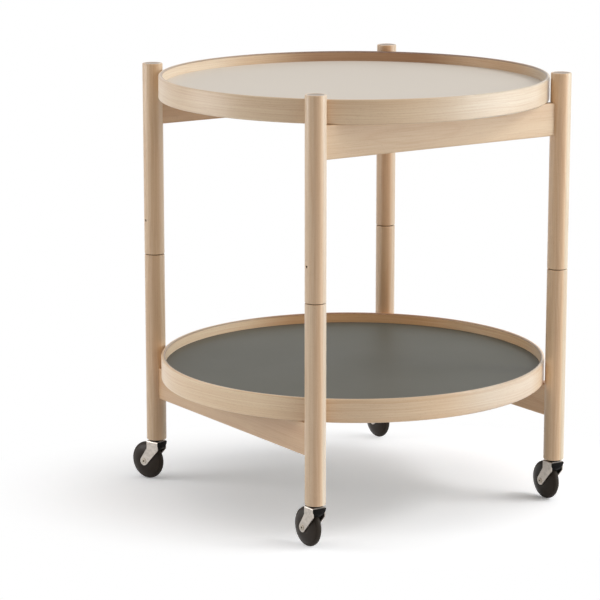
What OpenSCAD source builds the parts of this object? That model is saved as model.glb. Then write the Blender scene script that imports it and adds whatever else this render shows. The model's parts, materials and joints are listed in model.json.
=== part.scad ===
// Round tray table on castors, in beech, with two loose reversible trays.
// The floor is z = 0 and the table's middle is the origin. All sizes are in millimetres.
// The four legs are split at mid height. The two upper rails join the upper leg halves along X,
// the two lower rails join the lower halves along Y, and a steel pin in each leg lets them turn.

/* [Trays] */
// Outer diameter of each tray
tray_d = 600; // [450:5:700]
// Height of the bent rim
rim_h = 36; // [28:1:48]
// Thickness of the bent rim
rim_t = 6; // [5:0.5:9]
// Rounding of the rim's edges
rim_round = 2.2; // [1:0.1:2.4]
// Thickness of the laminated board
board_t = 4; // [3.5:0.5:6]
// Thickness of the tongue round the board's edge
tongue_t = 2.4; // [1.5:0.1:3]
// Depth of the rim's groove that holds the tongue
groove_depth = 3; // [2:0.5:3.5]
// Height of the lower tray's underside above the floor
lower_tray_z = 187; // [170:1:260]

/* [Legs] */
// Diameter of the round legs
leg_d = 31.5; // [28:0.5:40]
// Length of each lower leg half
lower_leg_l = 301.5; // [260:0.5:400]
// Length of each upper leg half
upper_leg_l = 301.5; // [260:0.5:400]
// Height of the leg tops above the top tray's rim
leg_proud = 9; // [3:0.5:20]
// Gap between a tray's rim and each leg
tray_gap = 2.4; // [1:0.1:5]
// Rounding of the leg ends
leg_round = 1.2; // [0.6:0.1:2.5]
// Depth of the shallow dish in each leg top
dish_depth = 1.2; // [0.6:0.1:2.5]
// Width of the plain edge around the dish
dish_edge = 2.6; // [1.8:0.1:5]

/* [Rails] */
// Height of the rails
rail_h = 50; // [36:1:64]
// Thickness of the rails
rail_t = 16; // [13:0.5:20]
// Distance of a rail's outer face from the plane through the leg axes
rail_out = 4; // [2:0.5:7]
// Rounding of the rails' long edges
rail_round = 2; // [1:0.1:4]
// Thickness of the tenons at the rail ends
tenon_t = 8; // [6:0.5:10]
// Height of the tenons
tenon_h = 34; // [24:1:34]
// Length of the tenons inside the legs
tenon_l = 12; // [8:0.5:13]

/* [Leg pivots] */
// Diameter of the pivot pins
pivot_d = 8; // [6:0.5:10]
// Depth of a pivot pin in the upper leg
pivot_up = 64; // [60:1:80]
// Depth of a pivot pin in the lower leg
pivot_down = 48; // [30:1:60]
// Thickness of the washer between the leg halves
washer_t = 1; // [0.6:0.1:2]
// Diameter of that washer
washer_d = 26; // [20:0.5:27]
// Height of the grub screw above the joint
screw_up = 54; // [30:1:55]
// Diameter of the grub screw
screw_d = 4; // [3:0.5:5]
// Depth of the screw's outer end under the leg's surface
screw_sunk = 1; // [0.5:0.1:2]
// Width across the flats of the screw's hexagon socket
screw_hex = 2; // [1.5:0.1:2.4]

/* [Castor wheels] */
// Diameter of the wheels
wheel_d = 60; // [50:1:75]
// Width of the wheels
wheel_w = 18.4; // [14:0.2:24]
// Diameter of the flat middle of each wheel's side
wheel_flat_d = 20; // [14:1:26]
// Diameter of the low hub on each side
hub_d = 12; // [9.5:0.5:13]
// Diameter of the axle
axle_d = 6; // [4:0.5:7]
// Diameter of the axle's riveted heads
axle_head_d = 8.6; // [8:0.2:10]
// Height of those heads
axle_head_h = 0.7; // [0.4:0.1:1.2]
// Diameter of the hollow in the axle's ends
axle_hollow_d = 3.2; // [2:0.2:3.4]
// Horizontal distance of the axle from the swivel axis
trail = 18; // [12:0.5:24]

/* [Castor forks] */
// Thickness of the fork's steel
fork_t = 1.6; // [1.2:0.1:2.4]
// Gap between the wheel and each arm
arm_gap = 0.6; // [0.4:0.1:1.5]
// Gap between the wheel and the plate above it
crown_gap = 3.4; // [3:0.1:6]
// Reach of the plate in front of the swivel axis
crown_front = 10; // [8:0.5:14]
// Reach of the plate behind the swivel axis
crown_rear = 12; // [9:0.5:14]
// Height of the arms' upright part
arm_upright = 13; // [8:0.5:15]
// Radius of the arms' round ends
arm_end_r = 7.2; // [6:0.1:9]
// Reach of the nose guard in front of the plate
guard_front = 3.8; // [1.5:0.1:4.5]
// Gap between the nose guard and the tread
guard_gap = 1.5; // [1:0.1:3]

/* [Castor sockets] */
// Diameter of the swivel stem
stem_d = 8; // [6:0.5:9]
// Length of the stem above the plate
stem_l = 40; // [30:1:50]
// Wall of the socket sleeve
sleeve_t = 1.5; // [1:0.1:2.5]
// Diameter of the sleeve's flange under the leg
flange_d = 21; // [17:0.5:26]
// Thickness of that flange
flange_t = 2.8; // [2:0.1:4]

/* [Clearances] */
// Radial running clearance of pins, stems and axles
run_gap = 0.1; // [0.05:0.01:0.1]
// Clearance of glued and pressed joints
fit_gap = 0.05; // [0.02:0.01:0.1]
// Gap between the swivelling plate and the flange
swivel_gap = 0.2; // [0.1:0.1:0.5]
// Gap at the blind end of a hole
end_gap = 1; // [0.5:0.5:3]

/* [Castor directions] */
// Direction in which the front left wheel trails, in degrees from +X
front_left_turn = 91; // [0:1:359]
// Direction in which the front right wheel trails
front_right_turn = 88; // [0:1:359]
// Direction in which the rear right wheel trails
rear_right_turn = 90; // [0:1:359]
// Direction in which the rear left wheel trails
rear_left_turn = 110; // [0:1:359]

/* [Hidden] */

// The four corners, counter-clockwise from the front left
FRONT_LEFT = 0;
FRONT_RIGHT = 1;
REAR_RIGHT = 2;
REAR_LEFT = 3;
side_x = [-1, 1, 1, -1];
side_y = [-1, -1, 1, 1];
turns = [front_left_turn, front_right_turn, rear_right_turn, rear_left_turn];

// Colours
beech = [0.86, 0.74, 0.60];
pale_laminate = [0.82, 0.80, 0.78];
dark_laminate = [0.42, 0.41, 0.38];
zinc = [0.72, 0.69, 0.66];
black = [0.10, 0.09, 0.09];
steel = [0.60, 0.60, 0.62];

// Smoothness of round shapes
round_fn = 96;
fine_fn = 32;

// Tray and leg places
tray_r = tray_d / 2;
leg_r = leg_d / 2;
leg_axis = (tray_r + tray_gap + leg_r) / sqrt(2);

// Castor heights, from the floor up
wheel_r = wheel_d / 2;
plate_under = wheel_d + crown_gap;
plate_top = plate_under + fork_t;
flange_z = plate_top + swivel_gap;
leg_bottom = flange_z + flange_t;

// Leg heights
washer_z = leg_bottom + lower_leg_l;
upper_leg_z = washer_z + washer_t;
leg_top = upper_leg_z + upper_leg_l;
top_tray_z = leg_top - leg_proud - rim_h;
screw_z = upper_leg_z + screw_up;

// Rail places: a rail's middle lies inside the plane through the leg axes
rail_in = rail_t / 2 - rail_out;
upper_rail_z = top_tray_z - rail_h;
lower_rail_z = lower_tray_z - rail_h;

// Bore radii
pivot_r = pivot_d / 2;
stem_r = stem_d / 2;
axle_r = axle_d / 2;
sleeve_bore_r = stem_r + run_gap;
sleeve_r = sleeve_bore_r + sleeve_t;
sleeve_l = stem_l - swivel_gap - flange_t + end_gap;

// Fork widths, measured from its middle
arm_inside = wheel_w / 2 + arm_gap;
arm_outside = arm_inside + fork_t;

// Rounds inside the fork's bends and at the arms' front knee
bend_in_r = 1;
knee_r = 4;

// Rounds of the guard's front, seen from above, and of the bowl under it
guard_curve_r = 30;
guard_bowl_r = 16.6;

// Groove in the guard that clears the inner rounds of the plate's bends
corner_cut = 1.2;

// Wheel tread, hub and the seam round the tread
tread_r = 5.2;
hub_proud = 0.4;
seam_r = 0.5;

// Rivet of the stem, its snap groove, the rounded ends of pins and the hollow of the axle
rivet_d = 12;
rivet_h = 1.4;
snap_depth = 0.5;
snap_h = 2;
stem_top = plate_top + stem_l;
snap_z = stem_top - 6;
pin_round = 0.6;
axle_hollow_l = 3;

// Overlap of a tenon with its rail, and the run of a cut past a face
tenon_root = 4;
through = 1;

// The two points where the outer tangent of two circles touches them, on the side s, 1 or -1
function outer_tangent(c1, r1, c2, r2, s) =
    let (d = c2 - c1, a = atan2(d[1], d[0]) + s * acos((r1 - r2) / norm(d)), out = [cos(a), sin(a)])
    [c1 + r1 * out, c2 + r2 * out];

// Builds one corner of the table from the shape for the corner at +X +Y
module at_corner(i) {
    mirror([side_x[i] < 0 ? 1 : 0, 0, 0])
        mirror([0, side_y[i] < 0 ? 1 : 0, 0])
            translate([leg_axis, leg_axis, 0])
                children();
}

// Puts a castor part under a leg, turned so that its wheel trails in that corner's direction
module at_castor(i) {
    translate([side_x[i] * leg_axis, side_y[i] * leg_axis, 0])
        rotate([0, 0, turns[i]])
            children();
}

// Rectangle from the origin with true arcs at its four corners
module round_rect(w, h, r) {
    translate([r, 0])
        square([w - 2 * r, h]);
    translate([0, r])
        square([w, h - 2 * r]);
    for (x = [r, w - r], y = [r, h - r])
        translate([x, y])
            circle(r, $fn = fine_fn);
}

// Half section of a round rod with rounded ends, from its axis outwards
module rod_section(r, z0, length, round) {
    translate([0, z0])
        square([r - round, length]);
    translate([0, z0 + round])
        square([r, length - 2 * round]);
    for (z = [z0 + round, z0 + length - round])
        translate([r - round, z])
            circle(round, $fn = fine_fn);
}

// Solid rod with rounded ends
module rod(r, z0, length, round) {
    rotate_extrude($fn = round_fn)
        rod_section(r, z0, length, round);
}

// Tenon of an upper rail, at the leg on the origin; the rail leaves it towards -X
module tenon(gap, root, z0) {
    translate([-leg_r - root, -rail_in - tenon_t / 2 - gap, z0 + (rail_h - tenon_h) / 2 - gap])
        cube([root + tenon_l + gap, tenon_t + 2 * gap, tenon_h + 2 * gap]);
}

module upper_leg(i) {
    dish_r = leg_r - dish_edge;
    dish_ball_r = (dish_r * dish_r + dish_depth * dish_depth) / (2 * dish_depth);
    color(beech)
        at_corner(i)
            difference() {
                rod(leg_r, upper_leg_z, upper_leg_l, leg_round);
                translate([0, 0, leg_top - dish_depth + dish_ball_r])
                    sphere(dish_ball_r, $fn = round_fn);
                translate([0, 0, upper_leg_z - through])
                    cylinder(r = pivot_r + fit_gap, h = pivot_up + end_gap + through, $fn = round_fn);
                translate([0, 0, screw_z])
                    rotate([0, 90, 0])
                        cylinder(r = screw_d / 2 + fit_gap, h = leg_r + through, $fn = round_fn);
                tenon(fit_gap, through, upper_rail_z);
            }
}

module lower_leg(i) {
    color(beech)
        at_corner(i)
            difference() {
                rod(leg_r, leg_bottom, lower_leg_l, leg_round);
                translate([0, 0, washer_z - pivot_down - end_gap])
                    cylinder(r = pivot_r + run_gap, h = pivot_down + end_gap + through, $fn = round_fn);
                translate([0, 0, leg_bottom - through])
                    cylinder(r = sleeve_r + fit_gap, h = sleeve_l + end_gap + through, $fn = round_fn);
                mirror([1, -1, 0])
                    tenon(fit_gap, through, lower_rail_z);
            }
}

// A rail along X on the +Y side, hollowed at its ends to sit against the round legs
module rail(z0) {
    difference() {
        translate([-leg_axis, leg_axis - rail_in - rail_t / 2, z0])
            rotate([90, 0, 90])
                linear_extrude(2 * leg_axis)
                    round_rect(rail_t, rail_h, rail_round);
        for (s = [-1, 1])
            translate([s * leg_axis, leg_axis, z0 - through])
                cylinder(r = leg_r + fit_gap, h = rail_h + 2 * through, $fn = round_fn);
    }
    for (m = [0, 1])
        mirror([m, 0, 0])
            translate([leg_axis, leg_axis, 0])
                tenon(0, tenon_root, z0);
}

module upper_rail(s) {
    color(beech)
        mirror([0, s < 0 ? 1 : 0, 0])
            rail(upper_rail_z);
}

module lower_rail(s) {
    color(beech)
        mirror([s < 0 ? 1 : 0, 0, 0])
            mirror([1, -1, 0])
                rail(lower_rail_z);
}

// Pin that joins the two halves of a leg: tight in the upper half, turning in the lower one
module pivot_pin(i) {
    color(steel)
        at_corner(i)
            rod(pivot_r, washer_z - pivot_down, pivot_down + washer_t + pivot_up, pin_round);
}

module washer(i) {
    color(black)
        at_corner(i)
            translate([0, 0, washer_z])
                difference() {
                    cylinder(d = washer_d, h = washer_t, $fn = round_fn);
                    translate([0, 0, -through])
                        cylinder(r = pivot_r + run_gap, h = washer_t + 2 * through, $fn = round_fn);
                }
}

// Screw that holds the pivot pin in the upper leg, on the side away from the rail
module grub_screw(i) {
    screw_l = leg_r - screw_sunk - pivot_r - fit_gap;
    color(steel)
        at_corner(i)
            translate([pivot_r + fit_gap, 0, screw_z])
                rotate([0, 90, 0])
                    difference() {
                        cylinder(d = screw_d, h = screw_l, $fn = fine_fn);
                        translate([0, 0, screw_l - screw_hex])
                            cylinder(d = screw_hex / cos(30), h = screw_hex + through, $fn = 6);
                    }
}

// Bent rim with rounded edges and a groove round its inside at mid height
module tray_rim(z0) {
    color(beech)
        rotate_extrude($fn = 2 * round_fn)
            difference() {
                translate([tray_r - rim_t, z0])
                    round_rect(rim_t, rim_h, rim_round);
                translate([tray_r - rim_t - through, z0 + (rim_h - tongue_t) / 2 - fit_gap])
                    square([through + groove_depth, tongue_t + 2 * fit_gap]);
            }
}

// Laminated board whose tongue sits in the rim's groove, so the tray can be used either way up
module board(z0) {
    board_r = tray_r - rim_t - fit_gap;
    translate([0, 0, z0 + rim_h / 2]) {
        cylinder(r = board_r, h = board_t, center = true, $fn = 2 * round_fn);
        cylinder(r = board_r + groove_depth, h = tongue_t, center = true, $fn = 2 * round_fn);
    }
}

module top_board() {
    color(pale_laminate)
        board(top_tray_z);
}

module lower_board() {
    color(dark_laminate)
        board(lower_tray_z);
}

// Sleeve in the leg with a flange under it and a ridge that snaps into the stem's groove
module sleeve(i) {
    color(black)
        at_corner(i)
            rotate_extrude($fn = round_fn)
                difference() {
                    union() {
                        translate([0, flange_z])
                            square([sleeve_r, flange_t + sleeve_l]);
                        translate([0, flange_z])
                            square([flange_d / 2, flange_t]);
                    }
                    translate([0, flange_z - through])
                        square([sleeve_bore_r, snap_z - snap_h / 2 - flange_z + through]);
                    translate([0, flange_z - through])
                        square([stem_r - snap_depth, flange_t + sleeve_l + 2 * through]);
                    translate([0, snap_z + snap_h / 2])
                        square([sleeve_bore_r, sleeve_l]);
                }
}

// Steel stem, riveted under the plate and grooved near its top
module stem(i) {
    color(steel)
        at_castor(i)
            rotate_extrude($fn = round_fn)
                difference() {
                    union() {
                        translate([0, plate_under])
                            square([stem_r, stem_top - pin_round - plate_under]);
                        translate([0, stem_top - 2 * pin_round])
                            square([stem_r - pin_round, 2 * pin_round]);
                        translate([stem_r - pin_round, stem_top - pin_round])
                            circle(pin_round, $fn = fine_fn);
                        translate([0, plate_under - rivet_h])
                            square([rivet_d / 2, rivet_h]);
                    }
                    translate([stem_r - snap_depth - run_gap, snap_z - snap_h / 2 - run_gap])
                        square([snap_depth + run_gap + through, snap_h + 2 * run_gap]);
                }
}

// Block of width w with the fork's side outline in X and Z
module arm_block(w) {
    knee_z = plate_top - arm_upright;
    axle = [trail, wheel_r];
    front_knee = [knee_r - crown_front, knee_z];
    rear_knee = [crown_rear, knee_z];
    front = outer_tangent(front_knee, knee_r, axle, arm_end_r, -1);
    rear = outer_tangent(rear_knee, 0, axle, arm_end_r, 1);
    rotate([90, 0, 0]) {
        linear_extrude(w, center = true)
            polygon([
                [-crown_front, plate_top],
                [crown_rear, plate_top],
                rear_knee,
                rear[1],
                axle,
                front[1],
                front[0],
                front_knee,
                [-crown_front, knee_z]
            ]);
        translate(front_knee)
            cylinder(r = knee_r, h = w, center = true, $fn = round_fn);
        translate(axle)
            cylinder(r = arm_end_r, h = w, center = true, $fn = round_fn);
    }
}

// Section of the fork's channel in Y and Z: half width w, top at z_top, corners of radius r
module channel_section(w, z_top, r) {
    translate([-w, 0])
        square([2 * w, z_top - r]);
    translate([r - w, 0])
        square([2 * (w - r), z_top]);
    for (s = [-1, 1])
        translate([s * (w - r), z_top - r])
            circle(r, $fn = fine_fn);
}

// Folded steel fork: a channel cut to the side outline, with holes for stem and axle
module fork(i) {
    color(zinc)
        at_castor(i)
            difference() {
                intersection() {
                    translate([-crown_front, 0, 0])
                        rotate([90, 0, 90])
                            linear_extrude(crown_front + trail + 2 * arm_end_r)
                                difference() {
                                    channel_section(arm_outside, plate_top, bend_in_r + fork_t);
                                    channel_section(arm_inside, plate_under, bend_in_r);
                                }
                    arm_block(4 * arm_outside);
                }
                translate([trail, 0, wheel_r])
                    rotate([90, 0, 0])
                        cylinder(r = axle_r + fit_gap, h = 4 * arm_outside, center = true, $fn = round_fn);
                translate([0, 0, plate_under - through])
                    cylinder(r = stem_r + fit_gap, h = fork_t + 2 * through, $fn = round_fn);
            }
}

// Black nose between the arms, in front of the wheel: upright under the plate's edge and a bowl below
module guard(i) {
    front = crown_front + guard_front;
    color(black)
        at_castor(i)
            difference() {
                intersection() {
                    translate([-front, -arm_outside, 0])
                        cube([front - rivet_d / 2 - guard_gap, 2 * arm_outside, plate_under - fit_gap]);
                    translate([guard_curve_r - front, 0, 0])
                        cylinder(r = guard_curve_r, h = plate_top, $fn = round_fn);
                    translate([0, 0, plate_top])
                        sphere(r = guard_bowl_r, $fn = round_fn);
                }
                translate([trail, 0, wheel_r])
                    rotate([90, 0, 0])
                        cylinder(r = wheel_r + guard_gap, h = 4 * arm_outside, center = true, $fn = round_fn);
                for (s = [-1, 1])
                    translate([-crown_front - fit_gap, s * (arm_inside + arm_outside) / 2, 0])
                        translate([0, -(fork_t / 2 + fit_gap), 0])
                            cube([front, fork_t + 2 * fit_gap, plate_top]);
                for (s = [-1, 1])
                    translate([-crown_front - fit_gap, s * (arm_inside - corner_cut / 2), plate_under])
                        translate([0, -corner_cut / 2, -corner_cut])
                            cube([front, corner_cut, corner_cut]);
            }
}

// Wheel with a round tread, slightly domed sides and a low hub on each side
module wheel(i) {
    flat_r = wheel_flat_d / 2;
    half_w = wheel_w / 2;
    tread_x = wheel_r - tread_r;
    side_r = (pow(tread_x - flat_r, 2) + half_w * half_w - tread_r * tread_r) / (2 * (half_w - tread_r));
    reach = side_r - tread_r;
    seam = [tread_x, 0] + tread_r / reach * [tread_x - flat_r, side_r - half_w];
    color(black)
        at_castor(i)
            translate([trail, 0, wheel_r])
                rotate([90, 0, 0])
                    rotate_extrude($fn = round_fn)
                        difference() {
                            union() {
                                intersection() {
                                    translate([0, -half_w])
                                        square([seam[0], wheel_w]);
                                    union() {
                                        translate([0, -half_w])
                                            square([flat_r, wheel_w]);
                                        intersection() {
                                            translate([flat_r, half_w - side_r])
                                                circle(side_r, $fn = round_fn);
                                            translate([flat_r, side_r - half_w])
                                                circle(side_r, $fn = round_fn);
                                            translate([flat_r, -half_w])
                                                square([wheel_r, wheel_w]);
                                        }
                                    }
                                }
                                translate([tread_x, 0])
                                    circle(tread_r, $fn = fine_fn);
                                translate([0, -half_w - hub_proud])
                                    square([hub_d / 2, wheel_w + 2 * hub_proud]);
                            }
                            for (s = [-1, 1])
                                translate([seam[0], s * seam[1]])
                                    circle(seam_r, $fn = fine_fn);
                            translate([-through, -wheel_w])
                                square([through + axle_r + run_gap, 2 * wheel_w]);
                        }
}

// Hollow rivet through both arms and the wheel
module axle(i) {
    color(steel)
        at_castor(i)
            translate([trail, 0, wheel_r])
                rotate([90, 0, 0])
                    difference() {
                        union() {
                            cylinder(r = axle_r, h = 2 * arm_outside, center = true, $fn = round_fn);
                            for (s = [-1, 1])
                                translate([0, 0, s * (arm_outside + axle_head_h / 2)])
                                    cylinder(d = axle_head_d, h = axle_head_h, center = true, $fn = round_fn);
                        }
                        for (s = [-1, 1])
                            translate([0, 0, s * (arm_outside + axle_head_h) - axle_hollow_l])
                                cylinder(d = axle_hollow_d, h = 2 * axle_hollow_l, $fn = fine_fn);
                    }
}

upper_leg(FRONT_LEFT);  // front_left_upper_leg
upper_leg(FRONT_RIGHT);  // front_right_upper_leg
upper_leg(REAR_RIGHT);  // rear_right_upper_leg
upper_leg(REAR_LEFT);  // rear_left_upper_leg
lower_leg(FRONT_LEFT);  // front_left_lower_leg
lower_leg(FRONT_RIGHT);  // front_right_lower_leg
lower_leg(REAR_RIGHT);  // rear_right_lower_leg
lower_leg(REAR_LEFT);  // rear_left_lower_leg
upper_rail(-1);  // upper_front_rail
upper_rail(1);  // upper_rear_rail
lower_rail(-1);  // lower_left_rail
lower_rail(1);  // lower_right_rail
pivot_pin(FRONT_LEFT);  // front_left_pivot_pin
pivot_pin(FRONT_RIGHT);  // front_right_pivot_pin
pivot_pin(REAR_RIGHT);  // rear_right_pivot_pin
pivot_pin(REAR_LEFT);  // rear_left_pivot_pin
washer(FRONT_LEFT);  // front_left_washer
washer(FRONT_RIGHT);  // front_right_washer
washer(REAR_RIGHT);  // rear_right_washer
washer(REAR_LEFT);  // rear_left_washer
grub_screw(FRONT_LEFT);  // front_left_grub_screw
grub_screw(FRONT_RIGHT);  // front_right_grub_screw
grub_screw(REAR_RIGHT);  // rear_right_grub_screw
grub_screw(REAR_LEFT);  // rear_left_grub_screw
tray_rim(top_tray_z);  // top_tray_rim
top_board();  // top_tray_board
tray_rim(lower_tray_z);  // lower_tray_rim
lower_board();  // lower_tray_board
sleeve(FRONT_LEFT);  // front_left_sleeve
sleeve(FRONT_RIGHT);  // front_right_sleeve
sleeve(REAR_RIGHT);  // rear_right_sleeve
sleeve(REAR_LEFT);  // rear_left_sleeve
stem(FRONT_LEFT);  // front_left_stem
stem(FRONT_RIGHT);  // front_right_stem
stem(REAR_RIGHT);  // rear_right_stem
stem(REAR_LEFT);  // rear_left_stem
fork(FRONT_LEFT);  // front_left_fork
fork(FRONT_RIGHT);  // front_right_fork
fork(REAR_RIGHT);  // rear_right_fork
fork(REAR_LEFT);  // rear_left_fork
guard(FRONT_LEFT);  // front_left_guard
guard(FRONT_RIGHT);  // front_right_guard
guard(REAR_RIGHT);  // rear_right_guard
guard(REAR_LEFT);  // rear_left_guard
wheel(FRONT_LEFT);  // front_left_wheel
wheel(FRONT_RIGHT);  // front_right_wheel
wheel(REAR_RIGHT);  // rear_right_wheel
wheel(REAR_LEFT);  // rear_left_wheel
axle(FRONT_LEFT);  // front_left_axle
axle(FRONT_RIGHT);  // front_right_axle
axle(REAR_RIGHT);  // rear_right_axle
axle(REAR_LEFT);  // rear_left_axle
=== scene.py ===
"""Round tray table in beech on castors: the finishes of its pieces, the floor, the light and the camera.

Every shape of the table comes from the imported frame. This script dresses each node for the piece that it
is, lays the floor under it and sets the light and the camera of the photograph. Camera, lamps, floor and
relief are in metres. Patterns, and the places that Cut, Tray, Leg and Rail hold, are in millimetres.
"""

import json
import logging
import math
import random
from dataclasses import dataclass
from enum import Enum
from typing import Any, Union

import bmesh
import bpy
from mathutils import Color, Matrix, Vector


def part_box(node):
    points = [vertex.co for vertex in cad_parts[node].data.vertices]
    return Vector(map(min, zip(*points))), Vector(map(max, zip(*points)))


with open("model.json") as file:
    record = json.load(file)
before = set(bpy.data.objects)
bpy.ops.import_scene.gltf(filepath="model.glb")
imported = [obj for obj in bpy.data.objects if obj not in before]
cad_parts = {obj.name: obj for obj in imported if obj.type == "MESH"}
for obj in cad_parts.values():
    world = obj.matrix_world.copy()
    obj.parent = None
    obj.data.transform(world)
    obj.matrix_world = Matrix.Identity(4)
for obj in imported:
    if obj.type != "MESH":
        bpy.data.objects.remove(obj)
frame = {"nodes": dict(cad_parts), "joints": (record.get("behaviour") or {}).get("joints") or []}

log = logging.getLogger("tray_table")

Colour = tuple[float, float, float]
Point = tuple[float, float, float]
Pair = tuple[float, float]
Lump = Union[float, Point]
Value = Union["Wire", float]
Triple = Union["Wire", Point]

MM_PER_M = 1000.0
UP: Point = (0.0, 0.0, 1.0)
WHITE: Colour = (1.0, 1.0, 1.0)
HALF_TURN = 180.0
SHIFT_LIMIT = 40.0

# The colour sockets of a Mix node share their names with others, so they go by number.
MIX_COLOURS = (6, 7)
MIX_RESULT = 2


def screen_colour(red: int, green: int, blue: int) -> Colour:
    """Turns a colour as a screen shows it, from 0 to 255, into the linear one that shaders use."""
    return tuple(Color((red / 255, green / 255, blue / 255)).from_srgb_to_scene_linear())


def pattern_shift(name: str) -> Point:
    """Draws where in the endless pattern of its finish a piece lies, the same at each run."""
    draw = random.Random(name)
    return tuple(draw.uniform(-SHIFT_LIMIT, SHIFT_LIMIT) for _ in range(3))


@dataclass(frozen=True)
class Wire:
    """An output socket that takes part in Python expressions, each of which adds its Math node."""

    tree: "ShaderTree"
    socket: bpy.types.NodeSocket

    def __add__(self, other: Value) -> "Wire":
        """Adds a value."""
        return self.tree.maths("ADD", self, other)

    def __radd__(self, other: Value) -> "Wire":
        """Adds itself to a value."""
        return self.tree.maths("ADD", other, self)

    def __sub__(self, other: Value) -> "Wire":
        """Takes a value away."""
        return self.tree.maths("SUBTRACT", self, other)

    def __rsub__(self, other: Value) -> "Wire":
        """Takes itself away from a value."""
        return self.tree.maths("SUBTRACT", other, self)

    def __mul__(self, other: Value) -> "Wire":
        """Multiplies by a value."""
        return self.tree.maths("MULTIPLY", self, other)

    def __rmul__(self, other: Value) -> "Wire":
        """Multiplies a value by itself."""
        return self.tree.maths("MULTIPLY", other, self)

    def __truediv__(self, other: Value) -> "Wire":
        """Divides by a value."""
        return self.tree.maths("DIVIDE", self, other)

    def __rtruediv__(self, other: Value) -> "Wire":
        """Divides a value by itself."""
        return self.tree.maths("DIVIDE", other, self)

    def __abs__(self) -> "Wire":
        """Drops the sign."""
        return self.tree.maths("ABSOLUTE", self)

    def root(self) -> "Wire":
        """Takes the square root."""
        return self.tree.maths("POWER", self, 0.5)

    def swing(self, span: float) -> "Wire":
        """Turns a noise, which lies around 0.5, into one around 0 with another span."""
        return (self - 0.5) * span

    def ramp(self, low: float, high: float) -> "Wire":
        """Rises smoothly from 0 at low to 1 at high, or falls where low is the greater one."""
        values = {"Value": self, "From Min": low, "From Max": high}
        return self.tree.node("ShaderNodeMapRange", {"interpolation_type": "SMOOTHSTEP"}, values)


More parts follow.
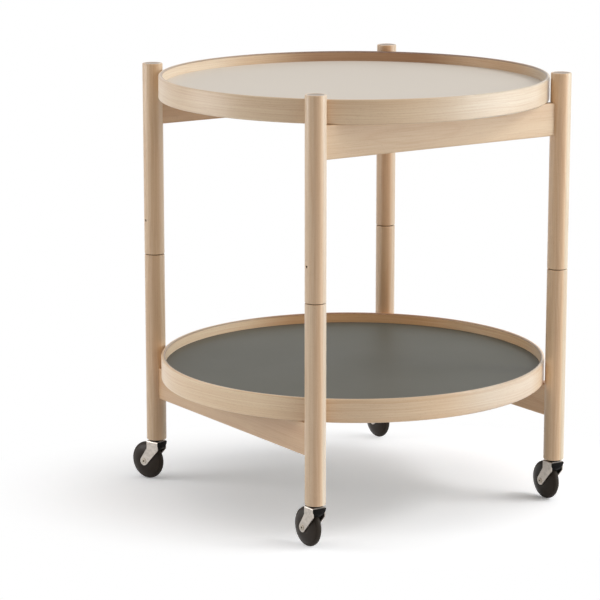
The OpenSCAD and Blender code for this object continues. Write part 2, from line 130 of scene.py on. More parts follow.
class ShaderTree:
    """Builds one node tree from plain calls and from expressions on wires."""

    def __init__(self, tree: bpy.types.NodeTree) -> None:
        """Takes the tree of a material or of the world and empties it."""
        self.tree = tree
        tree.nodes.clear()

    def add(self, kind: str, settings: dict[str, Any], values: dict[Any, Any]) -> bpy.types.Node:
        """Adds a node.

        Args:
            kind: The node's type.
            settings: Its properties, set before its sockets.
            values: A value or a wire for each input socket, by name or by number.

        Returns:
            The node.
        """
        made = self.tree.nodes.new(kind)
        for name, setting in settings.items():
            setattr(made, name, setting)
        for name, value in values.items():
            socket = made.inputs[name]
            if isinstance(value, Wire):
                self.tree.links.new(value.socket, socket)
            else:
                socket.default_value = value
        return made

    def node(
        self, kind: str, settings: dict[str, Any], values: dict[Any, Any], out: Union[str, int] = 0
    ) -> Wire:
        """Adds a node, as add does, and gives the output of that name or number."""
        return Wire(self, self.add(kind, settings, values).outputs[out])

    def maths(self, operation: str, *values: Value) -> Wire:
        """Adds a Math node on one, two or three values."""
        return self.node("ShaderNodeMath", {"operation": operation}, dict(enumerate(values)))

    def vector(self, operation: str, *values: Triple, out: str = "Vector") -> Wire:
        """Adds a Vector Math node on one or two vectors or colours."""
        return self.node("ShaderNodeVectorMath", {"operation": operation}, dict(enumerate(values)), out)

    def dot(self, first: Wire, second: Point) -> Wire:
        """Takes the dot product of two vectors."""
        return self.vector("DOT_PRODUCT", first, second, out="Value")

    def length(self, vector: Wire) -> Wire:
        """Measures a vector."""
        return self.vector("LENGTH", vector, out="Value")

    def join(self, x: Value, y: Value, z: Value) -> Wire:
        """Makes a vector of three values."""
        return self.node("ShaderNodeCombineXYZ", {}, {0: x, 1: y, 2: z})

    def split(self, vector: Wire) -> tuple[Wire, ...]:
        """Takes a vector apart into its three values."""
        parts = self.add("ShaderNodeSeparateXYZ", {}, {0: vector}).outputs
        return tuple(Wire(self, part) for part in parts)

    def spot(self) -> Wire:
        """Finds the shaded place in metres."""
        return self.node("ShaderNodeTexCoord", {}, {}, "Object")

    def fine(self, spot: Wire) -> Wire:
        """Turns a vector in metres into one in millimetres."""
        return self.vector("MULTIPLY", spot, (MM_PER_M, MM_PER_M, MM_PER_M))

    def mix(self, share: Value, first: Triple, second: Triple) -> Wire:
        """Mixes two colours.

        Args:
            share: How much of the second colour there is, from 0 to 1.
            first: A colour or a wire.
            second: A colour or a wire.

        Returns:
            The mixed colour.
        """
        ends = (colour if isinstance(colour, Wire) else (*colour, 1.0) for colour in (first, second))
        values = {0: share, **dict(zip(MIX_COLOURS, ends))}
        return self.node("ShaderNodeMix", {"data_type": "RGBA"}, values, MIX_RESULT)

    def tint(self, colour: Triple, brightness: Wire) -> Wire:
        """Multiplies a colour by a brightness, of which 1 leaves it as it is."""
        values = {"Vector": colour, "Scale": brightness}
        return self.node("ShaderNodeVectorMath", {"operation": "SCALE"}, values, "Vector")

    def tint_and_painted_light(self, colour: Wire, share: Wire, tint_and_painted_light: Colour) -> Wire:
        """Multiplies a colour by a tint as far as a share says so; it paints the light and shade of zones,
        rim edges and leg dishes.
        """
        return self.vector("MULTIPLY", colour, self.mix(share, WHITE, tint_and_painted_light))

    def noise(
        self, place: Wire, lump: Lump, shift: Point, detail: float = 2.0, roughness: float = 0.5
    ) -> Wire:
        """Adds a 3D noise.

        Args:
            place: The vector at which the noise is read.
            lump: How big its lumps are, in every direction or along each axis.
            shift: How far the pattern is moved, in lumps.
            detail: How many finer layers it has.
            roughness: How strong the finer layers are.

        Returns:
            The noise, around 0.5.
        """
        size = lump if isinstance(lump, tuple) else (lump, lump, lump)
        spread = self.vector("ADD", self.vector("DIVIDE", place, size), shift)
        values = {"Vector": spread, "Scale": 1.0, "Detail": detail, "Roughness": roughness}
        return self.node("ShaderNodeTexNoise", {"noise_dimensions": "3D"}, values, "Fac")

    def line_noise(self, place: Wire) -> Wire:
        """Adds a noise around 0.5 that changes with one number only, about once in every unit of it."""
        values = {"W": place, "Scale": 1.0, "Detail": 2.0, "Roughness": 0.5}
        return self.node("ShaderNodeTexNoise", {"noise_dimensions": "1D"}, values, "Fac")

    def bump(self, height: Wire, depth: float, strength: float) -> Wire:
        """Adds a Bump node for a height from 0 to 1, its depth in metres and the share that shows."""
        return self.node("ShaderNodeBump", {}, {"Height": height, "Distance": depth, "Strength": strength})

    def looked_at(self) -> Wire:
        """Finds out how a ray came.

        Returns:
            1 for a ray of the camera, of a mirror or of glass, and 0 for the light of the room.
        """
        path = self.add("ShaderNodeLightPath", {}, {}).outputs
        camera, mirror, glass = (
            Wire(self, path[way]) for way in ("Is Camera Ray", "Is Glossy Ray", "Is Transmission Ray")
        )
        return self.maths("MINIMUM", camera + mirror + glass, 1.0)

    def finish(self, shader: Wire, kind: str = "ShaderNodeOutputMaterial") -> None:
        """Joins a shader to the output node."""
        self.add(kind, {}, {"Surface": shader})

    def surface(self, values: dict[str, Any]) -> None:
        """Ends the tree in a Principled shader, with a value or a wire for each socket that is named."""
        self.finish(self.node("ShaderNodeBsdfPrincipled", {}, values))


def new_material(name: str) -> tuple[bpy.types.Material, ShaderTree]:
    """Makes an empty material.

    Args:
        name: The material's name.

    Returns:
        The material and its tree.
    """
    material = bpy.data.materials.new(name)
    material.use_nodes = True
    return material, ShaderTree(material.node_tree)


@dataclass(frozen=True)
class Spot:
    """A place in a piece of wood: along the grain, across it both ways, and as one vector."""

    along: Wire
    across: Wire
    through: Wire
    place: Wire

    def beside(self, line: Pair) -> tuple[Wire, Wire]:
        """Measures how far the place lies from a line along the grain, both ways."""
        return self.across - line[0], self.through - line[1]

    def distance(self, line: Pair) -> Wire:
        """Measures how far the place lies from a line along the grain."""
        aside, back = self.beside(line)
        return (aside * aside + back * back).root()


class Grain(Enum):
    """The way in which the grain of a piece of wood runs."""

    ALONG_X = "along x"
    ALONG_Y = "along y"
    UPRIGHT = "upright"
    BENT = "bent round the upright axis"


@dataclass(frozen=True)
class PaintedLightZone:
    """Painted light and shade on one side of a rim or of a leg, with its angles in degrees: each zone makes
    the wood paler where light falls or darker where shade falls.

    The painted colour is full up to half on each side of at, and fades away over the angle fade.
    """

    at: float
    half: float
    fade: float
    tint_and_painted_light: Colour


@dataclass(frozen=True)
class Cut:
    """How a piece was cut from the log.

    The pith of the log and the middle of the piece are places across the grain. The tone warms the wood.
    The tint multiplies its colour: it is fitted per piece, partly the piece's own tone and partly painted
    light and shade. The zones are painted light and shade on sides of a rim or of a leg. Only a piece whose
    top end or top edge is open has a top, and only a bent piece has a bend and a scarf joint, of which the
    turn is in radians.
    """

    grain: Grain
    pith: Pair
    tone: float
    tint_and_painted_light: Colour = WHITE
    painted_light_zones: tuple[PaintedLightZone, ...] = ()
    middle: Pair = (0.0, 0.0)
    top: float = math.inf
    bend_radius: float = 0.0
    scarf_turn: float = 0.0
    scarf_slope: float = 0.0

    def half_strip(self) -> float:
        """Gives half the length of the strip that the piece was bent from."""
        return math.pi * self.bend_radius

    def unbend(self, tree: ShaderTree, x: Wire, y: Wire) -> tuple[Wire, Wire]:
        """Finds a place in the strip that the piece was bent from.

        Args:
            tree: The material's tree.
            x: The shaded place along x.
            y: The shaded place along y.

        Returns:
            The place along the strip, from one side of the scarf joint to the other, and across it.
        """
        cosine, sine = math.cos(self.scarf_turn), math.sin(self.scarf_turn)
        ahead = x * cosine + y * sine
        aside = y * cosine - x * sine
        out = (x * x + y * y).root() - self.bend_radius
        along = tree.maths("ARCTAN2", aside, ahead) * self.bend_radius + out * self.scarf_slope
        return tree.maths("WRAP", along, self.half_strip(), -self.half_strip()), out

    def lie(self, tree: ShaderTree) -> Spot:
        """Finds the shaded place in the wood.

        Args:
            tree: The material's tree.

        Returns:
            The place.
        """
        x, y, z = tree.split(tree.fine(tree.spot()))
        if self.grain is Grain.BENT:
            ways = (*self.unbend(tree, x, y), z)
        elif self.grain is Grain.ALONG_X:
            ways = (x, y, z)
        elif self.grain is Grain.ALONG_Y:
            ways = (y, x, z)
        else:
            ways = (z, x, y)
        return Spot(*ways, tree.join(*ways))

    def turn(self, tree: ShaderTree, spot: Spot) -> Wire:
        """Finds the angle of a place round the middle of a rim or of a leg.

        Args:
            tree: The material's tree.
            spot: The place in the wood.

        Returns:
            The angle, in degrees.
        """
        if self.grain is Grain.BENT:
            return spot.along * math.degrees(1.0 / self.bend_radius) + math.degrees(self.scarf_turn)
        aside, back = spot.beside(self.middle)
        return tree.maths("ARCTAN2", back, aside) * math.degrees(1.0)


@dataclass(frozen=True)
class Beech:
    """Beech under a clear matt lacquer.

    Each lump is the size of a pattern along the grain and across it both ways. The year rings wander with
    drift and waver. Bands, rings and late wood warm the pale wood, and streaks, rays and fibres follow.
    """

    pale: Colour = screen_colour(224, 199, 166)
    warm: Colour = screen_colour(209, 175, 138)
    streak: Colour = screen_colour(191, 148, 109)
    ray: Colour = screen_colour(155, 109, 71)

    drift_lump: Point = (210.0, 60.0, 60.0)
    drift: float = 22.0
    waver_lump: Point = (46.0, 14.0, 14.0)
    waver: float = 2.4
    ring_gap: float = 3.4
    late_wood_from: float = 0.55

    band_lump: Point = (520.0, 26.0, 26.0)
    warmth: float = 0.42
    band_warmth: float = 1.5
    ring_warmth: float = 1.1
    late_wood_warmth: float = 0.16

    streak_lump: Point = (85.0, 1.5, 1.5)
    streak_from: float = 0.47
    streak_gain: float = 1.6
    fibre_lump: Point = (9.0, 0.28, 0.28)
    fibre_tone: float = 0.10
    ray_lump: Point = (2.6, 0.42, 0.42)
    ray_limits: Pair = (0.64, 0.74)
    ray_depth: float = 0.34

    roughness: float = 0.46
    fibre_roughness: float = 0.10
    ray_roughness: float = 0.06
    lacquer: float = 0.6
    lacquer_roughness: float = 0.28
    relief: float = 0.00006
    relief_strength: float = 0.6
    fibre_relief: float = 0.5
    streak_relief: float = 0.5
    ray_relief: float = 0.35

    glue_from_end: Pair = (0.9, 0.2)
    glue_depth: float = 0.6
    # Painted shade on the rim's inner top edge.
    edge_painted_shade: Colour = (0.46, 0.39, 0.34)
    shaded_edge_across: Pair = (0.2, -0.8)
    shaded_edge_below_top: Pair = (2.6, 1.6)
    # Painted shade in the dish at the top of a leg.
    dish_painted_shade: Colour = (0.36, 0.335, 0.30)
    shaded_dish_radii: Pair = (13.0, 11.8)
    shaded_dish_below_top: Pair = (1.7, 1.5)

    def warm_share(self, tree: ShaderTree, cut: Cut, spot: Spot, shift: Point) -> Wire:
        """Works out how warm in colour the wood is, by its year rings and its wide bands.

        Args:
            tree: The material's tree.
            cut: How the piece was cut.
            spot: The place in the wood.
            shift: How far the patterns are moved.

        Returns:
            The share of the warm colour.
        """
        drift = tree.noise(spot.place, self.drift_lump, shift, detail=1.0)
        waver = tree.noise(spot.place, self.waver_lump, shift)
        rings = (spot.distance(cut.pith) + drift * self.drift + waver * self.waver) / self.ring_gap
        ring_tone = tree.line_noise(rings + shift[0])
        late_wood = tree.maths("FRACT", rings).ramp(self.late_wood_from, 1.0)
        band = tree.noise(spot.place, self.band_lump, shift)
        patterns = band.swing(self.band_warmth) + ring_tone.swing(self.ring_warmth)
        return patterns + late_wood * self.late_wood_warmth + (self.warmth + cut.tone)

    def paint_light_zones(self, tree: ShaderTree, colour: Wire, cut: Cut, spot: Spot) -> Wire:
        """Paints light and shade into the wood: paler or darker in the zones of its piece.

        Args:
            tree: The material's tree.
            colour: The wood's colour.
            cut: How the piece was cut.
            spot: The place in the wood.

        Returns:
            The colour, changed within the zones and less so towards their ends.
        """
        turn = cut.turn(tree, spot)
        for zone in cut.painted_light_zones:
            away = abs(tree.maths("WRAP", turn - zone.at, HALF_TURN, -HALF_TURN))
            colour = tree.tint_and_painted_light(colour, away.ramp(zone.half + zone.fade, zone.half), zone.tint_and_painted_light)
        return colour

    def rim_marks(self, tree: ShaderTree, colour: Wire, cut: Cut, spot: Spot) -> Wire:
        """Draws the line of glue of a rim's scarf joint and paints shade on its inner top edge.

        Args:
            tree: The material's tree.
            colour: The wood's colour.
            cut: How the rim was cut.
            spot: The place in the wood.

        Returns:
            The colour with the glue line and the painted shade.
        """
        glue = abs(spot.along).ramp(*(cut.half_strip() - reach for reach in self.glue_from_end))
        colour = tree.mix(glue * self.glue_depth, colour, self.ray)
        # Painted shade: the inner top edge of the rim is darkened as if it faced away from the light.
        high = spot.through.ramp(*(cut.top - below for below in self.shaded_edge_below_top))
        return tree.tint_and_painted_light(colour, spot.across.ramp(*self.shaded_edge_across) * high, self.edge_painted_shade)

    def paint_dish_shade(self, tree: ShaderTree, colour: Wire, cut: Cut, spot: Spot) -> Wire:
        """Paints shade into the dish in the top end of a leg.

        Args:
            tree: The material's tree.
            colour: The wood's colour.
            cut: How the leg was cut.
            spot: The place in the wood.

        Returns:
            The colour with the painted shade.
        """
        # Painted shade: the hollow of the dish is darkened as if shaded.
        high = spot.along.ramp(*(cut.top - below for below in self.shaded_dish_below_top))
        within = spot.distance(cut.middle).ramp(*self.shaded_dish_radii)
        return tree.tint_and_painted_light(colour, within * high, self.dish_painted_shade)

    def build(self, name: str, cut: Cut) -> bpy.types.Material:
        """Makes the material of one piece.

        Args:
            name: The piece's name, which also chooses its place in the log.
            cut: How the piece was cut.

        Returns:
            The material.
        """
        shift = pattern_shift(name)
        material, tree = new_material("beech " + name)
        spot = cut.lie(tree)
        streak = tree.noise(spot.place, self.streak_lump, shift, detail=3.0, roughness=0.6)
        fibre = tree.noise(spot.place, self.fibre_lump, shift)
        ray = tree.noise(spot.place, self.ray_lump, shift, detail=1.0).ramp(*self.ray_limits)

        colour = tree.mix(self.warm_share(tree, cut, spot, shift), self.pale, self.warm)
        colour = tree.mix((streak - self.streak_from) * self.streak_gain, colour, self.streak)
        colour = tree.mix(ray * self.ray_depth, colour, self.ray)
        colour = tree.tint(colour, 1.0 + fibre.swing(self.fibre_tone))
        # The piece's tint, fitted per piece: partly its own tone and partly painted light and shade.
        colour = tree.vector("MULTIPLY", colour, cut.tint_and_painted_light)
        # Painted light and shade: the zones, then the rim's glue line with painted shade on its inner top
        # edge, or painted shade in a leg's top dish.
        if cut.painted_light_zones:
            colour = self.paint_light_zones(tree, colour, cut, spot)
        if cut.grain is Grain.BENT:
            colour = self.rim_marks(tree, colour, cut, spot)
        elif math.isfinite(cut.top):
            colour = self.paint_dish_shade(tree, colour, cut, spot)

        height = fibre * self.fibre_relief + streak * self.streak_relief - ray * self.ray_relief
        tree.surface(
            {
                "Base Color": colour,
                "Roughness": self.roughness + fibre.swing(self.fibre_roughness) + self.ray_roughness * ray,
                "Coat Weight": self.lacquer,
                "Coat Roughness": self.lacquer_roughness,
                "Normal": tree.bump(height, self.relief, self.relief_strength),
            }
        )
        return material


@dataclass(frozen=True)
class Laminate:
    """Matt laminate on a tray board, with the faint cloud and the fine texture of its pressing."""

    colour: Colour
    cloud_lump: float = 120.0
    cloud_tone: float = 0.05
    cloud_roughness: float = 0.10
    speck_lump: float = 0.7
    speck_tone: float = 0.03
    pressing_lump: float = 0.9
    pressing_roughness: float = 0.06
    roughness: float = 0.52
    shine: float = 0.35
    relief: float = 0.00002
    relief_strength: float = 0.5

    def build(self, name: str) -> bpy.types.Material:
        """Makes the material.

        Args:
            name: The board's name.

        Returns:
            The material.
        """
        shift = pattern_shift(name)
        material, tree = new_material("laminate " + name)
        place = tree.fine(tree.spot())
        cloud = tree.noise(place, self.cloud_lump, shift, detail=3.0)
        speck = tree.noise(place, self.speck_lump, shift)
        pressing = tree.noise(place, self.pressing_lump, shift, detail=1.0)
        roughness = cloud.swing(self.cloud_roughness) + pressing.swing(self.pressing_roughness)
        brightness = cloud.swing(self.cloud_tone) + speck.swing(self.speck_tone)
        tree.surface(
            {
                "Base Color": tree.tint(self.colour, 1.0 + brightness),
                "Roughness": self.roughness + roughness,
                "Specular IOR Level": self.shine,
                "Normal": tree.bump(pressing, self.relief, self.relief_strength),
            }
        )
        return material


@dataclass(frozen=True)
class Metal:
    """Satin metal with the fine lines of its rolling and a few dull patches."""

    colour: Colour
    roughness: float
    line_length: float = 14.0
    line_gap: float = 0.3
    line_tone: float = 0.3
    line_roughness: float = 0.16
    patch_lump: Point = (7.0, 7.0, 5.0)
    patch_limits: Pair = (0.42, 0.66)
    patch_tone: float = 0.10
    patch_roughness: float = 0.10
    relief: float = 0.000012
    relief_strength: float = 0.7

    def build(self, name: str, lines_along: Point = (1.0, 0.0, 0.0)) -> bpy.types.Material:
        """Makes the material.

        Args:
            name: The piece's name.
            lines_along: The direction in which the fine lines run.

        Returns:
            The material.
        """
        shift = pattern_shift(name)
        material, tree = new_material("metal " + name)
        place = tree.fine(tree.spot())
        along = tree.dot(place, lines_along)
        _, side, rise = tree.split(tree.vector("CROSS_PRODUCT", place, lines_along))
        line = (self.line_length, self.line_gap, self.line_gap)
        lines = tree.noise(tree.join(along, side, rise), line, (shift[0], 0.0, 0.0))
        dull = tree.noise(place, self.patch_lump, shift, detail=3.0).ramp(*self.patch_limits)
        brightness = 1.0 - dull * self.patch_tone + lines.swing(self.line_tone)
        tree.surface(
            {
                "Base Color": tree.tint(self.colour, brightness),
                "Metallic": 1.0,
                "Roughness": self.roughness + lines.swing(self.line_roughness) + dull * self.patch_roughness,
                "Normal": tree.bump(lines, self.relief, self.relief_strength),
            }
        )
        return material


@dataclass(frozen=True)
class MouldedPlastic:
    """Black moulded plastic with a fine spark-eroded texture and a few scuffs."""

    colour: Colour = (0.0034, 0.0030, 0.0026)
    texture_lump: float = 0.35
    texture_tone: float = 0.3
    texture_roughness: float = 0.12
    scuff_lump: float = 5.0
    scuff_limits: Pair = (0.55, 0.75)
    scuff_tone: float = 0.7
    scuff_roughness: float = 0.08
    roughness: float = 0.55
    shine: float = 0.10
    relief: float = 0.00003
    relief_strength: float = 0.6

    def build(self, name: str) -> bpy.types.Material:
        """Makes the material.

        Args:
            name: The piece's name.

        Returns:
            The material.
        """
        shift = pattern_shift(name)
        material, tree = new_material("plastic " + name)
        place = tree.fine(tree.spot())
        texture = tree.noise(place, self.texture_lump, shift)
        scuff = tree.noise(place, self.scuff_lump, shift, detail=3.0).ramp(*self.scuff_limits)
        roughness = texture.swing(self.texture_roughness) + scuff * self.scuff_roughness
        brightness = texture.swing(self.texture_tone) + scuff * self.scuff_tone
        tree.surface(
            {
                "Base Color": tree.tint(self.colour, 1.0 + brightness),
                "Roughness": self.roughness + roughness,
                "Specular IOR Level": self.shine,
                "Normal": tree.bump(texture, self.relief, self.relief_strength),
            }
        )
        return material


@dataclass(frozen=True)
class WheelRubber:
    """Black wheel: a smooth moulded centre and a softer, duller tread with a trace of dust.

    The centre has fine rings of turning, and the dust starts a little outside the seam.
    """

    centre: Colour = (0.0245, 0.0160, 0.0100)
    tread: Colour = (0.0255, 0.0175, 0.0115)
    dust: Colour = (0.040, 0.037, 0.030)
    seam_radius: float = 24.8
    seam_blur: float = 0.3
    turnings_per_mm: float = 2.2
    turning_relief: float = 0.7
    mottle_lump: float = 3.0
    mottle_limits: Pair = (0.38, 0.72)
    mottle_roughness: float = 0.1
    grit_lump: float = 0.5
    grit_relief: float = 0.2
    tread_grit_relief: float = 0.8
    dust_from_seam: Pair = (2.0, 5.2)
    dust_depth: float = 0.55
    dust_roughness: float = 0.3
    roughness: float = 0.36
    tread_roughness: float = 0.16
    shine: float = 0.20
    relief: float = 0.00005
    relief_strength: float = 0.5

    def build(self, name: str, middle: Vector, axle: Vector) -> bpy.types.Material:
        """Makes the material of one wheel.

        Args:
            name: The wheel's name.
            middle: The middle of the wheel.
            axle: The direction of its axle.

        Returns:
            The material.
        """
        shift = pattern_shift(name)
        material, tree = new_material("rubber " + name)
        arm = tree.fine(tree.vector("SUBTRACT", tree.spot(), tuple(middle)))
        side, reach = tree.dot(arm, tuple(axle)), tree.length(arm)
        radius = tree.maths("MAXIMUM", reach * reach - side * side, 0.0).root()

        on_tread = radius.ramp(self.seam_radius - self.seam_blur, self.seam_radius + self.seam_blur)
        turning = tree.line_noise(radius * self.turnings_per_mm + shift[0])
        mottle = tree.noise(arm, self.mottle_lump, shift, detail=4.0, roughness=0.6)
        grit = tree.noise(arm, self.grit_lump, shift)
        outside = radius.ramp(*(self.seam_radius + beyond for beyond in self.dust_from_seam))
        dust = outside * mottle.ramp(*self.mottle_limits) * self.dust_depth
        colour = tree.mix(dust, tree.mix(on_tread, self.centre, self.tread), self.dust)
        roughness = on_tread * self.tread_roughness + dust * self.dust_roughness
        height = turning * (1.0 - on_tread) * self.turning_relief
        height = height + grit * (on_tread * self.tread_grit_relief + self.grit_relief)
        tree.surface(
            {
                "Base Color": colour,
                "Roughness": self.roughness + roughness + mottle.swing(self.mottle_roughness),
                "Specular IOR Level": self.shine,
                "Normal": tree.bump(height, self.relief, self.relief_strength),
            }
        )
        return material


@dataclass(frozen=True)
class StudioFloor:
    """White floor that keeps the table's shadow and fades into the white backdrop.

    To the camera it is brighter than to the light of the room and has a lift, a faint glow of its own.
    So the shadow is as pale as in the photograph. The fade says how far out it starts and ends.
    """

    colour: Colour = (0.90, 0.90, 0.90)
    seen_colour: Colour = (1.159, 1.166, 1.182)
    lift: float = 0.161
    fade: Pair = (0.33, 0.64)
    depth_scale: float = 1.5

    def build(self, ahead: Vector) -> bpy.types.Material:
        """Makes the material.

        Args:
            ahead: The direction away from the camera, along which the fade comes sooner.

        Returns:
            The material.
        """
        material, tree = new_material("studio floor")
        spot = tree.spot()
        depth, reach = tree.dot(spot, tuple(ahead)), tree.length(spot)
        oval = (reach * reach + depth * depth * (self.depth_scale**2 - 1.0)).root()
        looked_at = tree.looked_at()
        colour = tree.mix(looked_at, self.colour, self.seen_colour)
        matt = tree.node("ShaderNodeBsdfDiffuse", {}, {"Color": colour})
        lit = tree.node("ShaderNodeEmission", {}, {"Strength": looked_at * self.lift})
        white = tree.node("ShaderNodeEmission", {}, {"Strength": 1.0})
        near = tree.node("ShaderNodeAddShader", {}, {0: matt, 1: lit})
        far = oval.ramp(*self.fade) * looked_at
        tree.finish(tree.node("ShaderNodeMixShader", {}, {0: far, 1: near, 2: white}))
        return material


Finish = Union[Beech, Laminate, Metal, MouldedPlastic, WheelRubber]


def dress(node: str, finish: Finish, *details: Any) -> None:
    """Gives a node of the frame a material of its own.

    Args:
        node: The node's name.
        finish: What makes the material.
        details: What the finish has to know besides the node's name.
    """
    material = finish.build(node, *details)
    piece = frame["nodes"][node]
    if not piece.material_slots:
        piece.data.materials.append(material)
    for slot in piece.material_slots:
        slot.material = material
    log.info("%s: %s", node, material.name)


def joint_line(name: str) -> tuple[Vector, Vector]:
    """Looks up a point on the line that a joint turns about, and the line's direction."""
    found = next(joint for joint in frame["joints"] if joint["name"] == name)
    return Vector(found["pos_m"]), Vector(found["axis"])


@dataclass(frozen=True)
class Tray:
    """One loose tray: a bent rim, with a scarf joint at an angle in degrees, round a laminated board."""

    name: str
    laminate: Laminate
    tone: float
    # Painted light and shade on sides of the rim.
    painted_light_zones: tuple[PaintedLightZone, ...]
    pith: Pair = (-74.0, -30.0)
    rim_radius: float = 297.0
    scarf_at: float = -130.4
    scarf_slope: float = 9.0

    def dress(self, wood: Beech) -> None:
        """Gives the rim and the board their finishes.

        Args:
            wood: The finish of the rim.
        """
        cut = Cut(
            Grain.BENT,
            self.pith,
            self.tone,
            painted_light_zones=self.painted_light_zones,
            top=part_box(self.name + "_rim")[1].z * MM_PER_M,
            bend_radius=self.rim_radius,
            scarf_turn=math.radians(self.scarf_at + HALF_TURN),
            scarf_slope=self.scarf_slope,
        )
        dress(self.name + "_rim", wood, cut)
        dress(self.name + "_board", self.laminate)


@dataclass(frozen=True)
class Leg:
    """One leg of two halves, each with its tone, and its pivot pin, washer and grub screw."""

    corner: str
    pith: Pair
    tones: Pair
    # The tint is partly the leg's own tone and partly painted light and shade; the zones are painted light
    # and shade on its sides.
    tint_and_painted_light: Colour
    painted_light_zones: tuple[PaintedLightZone, ...]
    pin: Metal = Metal(screen_colour(176, 174, 172), roughness=0.3)
    screw: Metal = Metal(screen_colour(104, 98, 90), roughness=0.42)
    washer: MouldedPlastic = MouldedPlastic()

    def dress(self, wood: Beech) -> None:
        """Gives the leg's pieces their finishes.

        Args:
            wood: The finish of both halves.
        """
        low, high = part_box(self.corner + "_upper_leg")
        middle = (low + high) / 2 * MM_PER_M
        pith = (middle.x + self.pith[0], middle.y + self.pith[1])
        tops = (high.z * MM_PER_M, math.inf)
        for half, tone, top in zip(("_upper_leg", "_lower_leg"), self.tones, tops):
            cut = Cut(Grain.UPRIGHT, pith, tone, self.tint_and_painted_light, self.painted_light_zones, (middle.x, middle.y), top)
            dress(self.corner + half, wood, cut)
        dress(self.corner + "_pivot_pin", self.pin, UP)
        dress(self.corner + "_grub_screw", self.screw)
        dress(self.corner + "_washer", self.washer)


@dataclass(frozen=True)
class Rail:
    """One rail between two legs."""

    name: str
    grain: Grain
    pith: Pair
    tone: float
    # The tint is partly the rail's own tone and partly painted light and shade.
    tint_and_painted_light: Colour

    def dress(self, wood: Beech) -> None:
        """Gives the rail its finish.

        Args:
            wood: The finish.
        """
        low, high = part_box(self.name)
        middle = (low + high) / 2 * MM_PER_M
        across = middle.y if self.grain is Grain.ALONG_X else middle.x
        pith = (across + self.pith[0], middle.z + self.pith[1])
        dress(self.name, wood, Cut(self.grain, pith, self.tone, self.tint_and_painted_light))


@dataclass(frozen=True)
class Castor:
    """One swivel castor with its socket in the leg."""

    corner: str
    zinc: Metal = Metal(screen_colour(196, 188, 179), roughness=0.34, patch_tone=0.16)
    steel: Metal = Metal(screen_colour(186, 177, 164), roughness=0.3)
    plastic: MouldedPlastic = MouldedPlastic()
    rubber: WheelRubber = WheelRubber()

    def dress(self) -> None:
        """Gives the castor's pieces their finishes."""
        middle, axle = joint_line(self.corner + "_wheel_roll")
        trail = axle.cross(Vector(UP))
        dress(self.corner + "_fork", self.zinc, tuple(trail))
        dress(self.corner + "_axle", self.steel, tuple(axle))
        dress(self.corner + "_stem", self.steel, UP)
        dress(self.corner + "_guard", self.plastic)
        dress(self.corner + "_sleeve", self.plastic)
        dress(self.corner + "_wheel", self.rubber, middle, axle)


@dataclass(frozen=True)
class PhotoCamera:
    """The camera, at the photograph's viewing angle, with its heading and its dip in radians."""

    eye: Point = (-2.3351, -3.3048, 1.1690)
    heading: float = -0.5947
    dip: float = 0.2098
    lens_mm: float = 158.82
    sensor_mm: float = 36.0

    def place(self) -> None:
        """Makes the camera and hands it to the scene."""
        data = bpy.data.cameras.new("camera")
        data.lens = self.lens_mm
        data.sensor_width = self.sensor_mm
        camera = bpy.data.objects.new("camera", data)
        camera.location = self.eye
        camera.rotation_euler = (math.pi / 2 - self.dip, 0.0, self.heading)
        bpy.context.scene.collection.objects.link(camera)
        bpy.context.scene.camera = camera

    def to_frame(self, right: float, ahead: float, up: float) -> Vector:
        """Turns a place right of the table, behind it and up, as the camera sees it, into the frame's."""
        cosine, sine = math.cos(self.heading), math.sin(self.heading)
        return Vector((right * cosine - ahead * sine, right * sine + ahead * cosine, up))


@dataclass(frozen=True)
class Softbox:
    """One studio lamp, with its place to the right, behind and above as the camera sees the table."""

    name: str
    place: Point
    size: Pair
    watts: float


@dataclass(frozen=True)
class Dome:
    """How bright the white room is above the table and on the camera's right."""

    above: float = 0.475
    right: float = 2.11

    def glow(self, tree: ShaderTree, camera: PhotoCamera) -> Wire:
        """Works out how bright the room is in the direction of a ray.

        Args:
            tree: The world's tree.
            camera: The camera, which says where right is.

        Returns:
            The brightness.
        """
        way = tree.node("ShaderNodeTexCoord", {}, {}, "Generated")
        above = tree.maths("MAXIMUM", tree.dot(way, UP), 0.0)
        right = tree.maths("MAXIMUM", tree.dot(way, tuple(camera.to_frame(1.0, 0.0, 0.0))), 0.0)
        return above * above * self.above + right * right * self.right


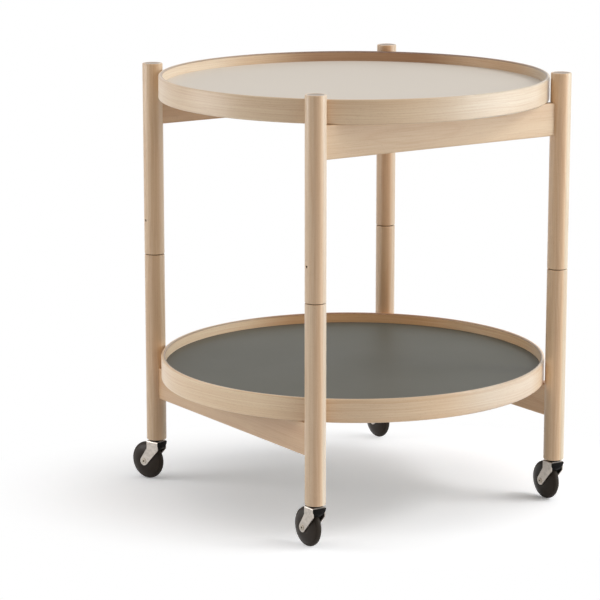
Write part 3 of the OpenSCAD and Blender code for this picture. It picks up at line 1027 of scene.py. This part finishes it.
@dataclass(frozen=True)
class Studio:
    """Floor, world, lamps and camera."""

    camera: PhotoCamera = PhotoCamera()
    floor: StudioFloor = StudioFloor()
    dome: Dome = Dome()
    floor_radius: float = 16.0
    floor_sides: int = 96
    aim_height: float = 0.35
    lamps: tuple[Softbox, ...] = (
        Softbox("high right strip", place=(2.0, -0.4, 1.9), size=(0.9, 0.5), watts=13.6),
        Softbox("low right strip", place=(2.0, -0.4, 0.6), size=(1.5, 0.4), watts=9.3),
        Softbox("left softbox", place=(-2.2, -0.1, 0.7), size=(1.2, 0.8), watts=13.0),
        Softbox("high left softbox", place=(-2.2, -0.1, 1.5), size=(1.2, 0.8), watts=3.8),
        Softbox("overhead softbox", place=(-0.3, 0.0, 1.9), size=(2.4, 2.4), watts=6.1),
    )

    def build(self) -> None:
        """Builds the whole studio."""
        self.camera.place()
        self.lay_floor()
        self.light_world()
        for lamp in self.lamps:
            self.hang(lamp)

    def lay_floor(self) -> None:
        """Lays a round floor under the table."""
        mesh = bpy.data.meshes.new("studio_floor")
        shape = bmesh.new()
        bmesh.ops.create_circle(shape, cap_ends=True, segments=self.floor_sides, radius=self.floor_radius)
        shape.to_mesh(mesh)
        shape.free()
        floor = bpy.data.objects.new("studio_floor", mesh)
        bpy.context.scene.collection.objects.link(floor)
        mesh.materials.append(self.floor.build(self.camera.to_frame(0.0, 1.0, 0.0)))

    def light_world(self) -> None:
        """Lights the table by the glow of the room, and shows white to the camera and in reflections."""
        world = bpy.data.worlds.new("studio")
        bpy.context.scene.world = world
        world.use_nodes = True
        tree = ShaderTree(world.node_tree)
        looked_at = tree.looked_at()
        strength = looked_at + (1.0 - looked_at) * self.dome.glow(tree, self.camera)
        shader = tree.node("ShaderNodeBackground", {}, {"Color": (*WHITE, 1.0), "Strength": strength})
        tree.finish(shader, "ShaderNodeOutputWorld")

    def hang(self, lamp: Softbox) -> None:
        """Hangs one lamp and aims it at the table.

        Args:
            lamp: The lamp.
        """
        data = bpy.data.lights.new(lamp.name, "AREA")
        data.shape = "RECTANGLE"
        data.size, data.size_y = lamp.size
        data.energy = lamp.watts
        lit = bpy.data.objects.new(lamp.name, data)
        lit.location = self.camera.to_frame(*lamp.place)
        aim = Vector((0.0, 0.0, self.aim_height)) - lit.location
        lit.rotation_euler = aim.to_track_quat("-Z", "Y").to_euler()
        bpy.context.scene.collection.objects.link(lit)
        log.info("lamp %s: %.1f W", lamp.name, lamp.watts)


CORNERS = ("front_left", "front_right", "rear_right", "rear_left")

TRAYS = (
    Tray(
        "top_tray",
        Laminate(screen_colour(219, 209, 196)),
        tone=-0.04,
        # Painted light and shade on the rim: paler zones where light falls, darker zones where shade falls.
        painted_light_zones=(
            PaintedLightZone(at=-60.0, half=20.0, fade=32.0, tint_and_painted_light=(0.97, 1.11, 1.30)),
            PaintedLightZone(at=8.0, half=14.0, fade=32.0, tint_and_painted_light=(0.97, 0.87, 0.77)),
            PaintedLightZone(at=45.0, half=15.0, fade=24.0, tint_and_painted_light=(0.58, 0.45, 0.36)),
            PaintedLightZone(at=122.0, half=20.0, fade=20.0, tint_and_painted_light=(1.14, 1.28, 1.48)),
        ),
    ),
    Tray(
        "lower_tray",
        Laminate(screen_colour(88, 88, 78), cloud_tone=0.08),
        tone=0.03,
        # Painted light and shade on the rim: paler zones where light falls, darker zones where shade falls.
        painted_light_zones=(
            PaintedLightZone(at=-56.0, half=20.0, fade=20.0, tint_and_painted_light=(0.96, 1.08, 1.28)),
            PaintedLightZone(at=-8.0, half=22.0, fade=26.0, tint_and_painted_light=(1.33, 1.26, 1.15)),
            PaintedLightZone(at=48.0, half=18.0, fade=22.0, tint_and_painted_light=(0.97, 0.78, 0.60)),
            PaintedLightZone(at=115.0, half=14.0, fade=18.0, tint_and_painted_light=(1.06, 1.14, 1.25)),
            PaintedLightZone(at=150.0, half=60.0, fade=22.0, tint_and_painted_light=(1.26, 1.31, 1.34)),
        ),
    ),
)

# Each leg's tint is partly its own tone and partly painted light and shade; its zones paint a paler side
# towards the right-hand lamps and a darker one towards the camera.
LEGS = (
    Leg(
        "front_left",
        pith=(38.0, -14.0),
        tones=(0.02, -0.06),
        tint_and_painted_light=(1.05, 1.04, 1.05),
        painted_light_zones=(
            PaintedLightZone(at=-117.0, half=10.0, fade=16.0, tint_and_painted_light=(0.87, 0.81, 0.76)),
            PaintedLightZone(at=-58.0, half=10.0, fade=24.0, tint_and_painted_light=(0.96, 1.12, 1.34)),
        ),
    ),
    Leg(
        "front_right",
        pith=(-26.0, 33.0),
        tones=(0.06, 0.0),
        tint_and_painted_light=(1.08, 1.03, 0.97),
        painted_light_zones=(
            PaintedLightZone(at=-119.0, half=12.0, fade=16.0, tint_and_painted_light=(0.86, 0.82, 0.80)),
            PaintedLightZone(at=-60.0, half=14.0, fade=28.0, tint_and_painted_light=(0.88, 1.08, 1.32)),
        ),
    ),
    Leg(
        "rear_right",
        pith=(31.0, 29.0),
        tones=(0.0, 0.05),
        tint_and_painted_light=(0.93, 0.87, 0.82),
        painted_light_zones=(
            PaintedLightZone(at=-125.0, half=14.0, fade=20.0, tint_and_painted_light=(0.90, 0.80, 0.70)),
            PaintedLightZone(at=-58.0, half=12.0, fade=24.0, tint_and_painted_light=(0.96, 1.10, 1.26)),
        ),
    ),
    Leg(
        "rear_left",
        pith=(-44.0, 8.0),
        tones=(-0.05, 0.04),
        tint_and_painted_light=(0.96, 0.92, 0.89),
        painted_light_zones=(
            PaintedLightZone(at=-112.0, half=14.0, fade=18.0, tint_and_painted_light=(0.94, 0.88, 0.80)),
            PaintedLightZone(at=-58.0, half=12.0, fade=22.0, tint_and_painted_light=(1.05, 1.12, 1.18)),
        ),
    ),
)

# Each rail's tint is partly its own tone and partly painted light and shade.
RAILS = (
    Rail("upper_front_rail", Grain.ALONG_X, pith=(58.0, 9.0), tone=0.0, tint_and_painted_light=(0.90, 0.88, 0.84)),
    Rail("upper_rear_rail", Grain.ALONG_X, pith=(-66.0, -12.0), tone=0.05, tint_and_painted_light=(0.84, 0.70, 0.56)),
    Rail("lower_left_rail", Grain.ALONG_Y, pith=(71.0, -6.0), tone=0.03, tint_and_painted_light=(0.98, 0.88, 0.78)),
    Rail("lower_right_rail", Grain.ALONG_Y, pith=(-52.0, 14.0), tone=-0.03, tint_and_painted_light=(1.18, 1.00, 0.82)),
)


def main() -> None:
    """Dresses the table and builds the studio."""
    logging.basicConfig(level=logging.INFO, format="%(name)s %(message)s")
    bpy.context.scene.view_settings.view_transform = "Standard"
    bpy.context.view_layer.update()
    wood = Beech()
    for piece in (*TRAYS, *LEGS, *RAILS):
        piece.dress(wood)
    for corner in CORNERS:
        Castor(corner).dress()
    Studio().build()


if __name__ == "__main__":
    main()
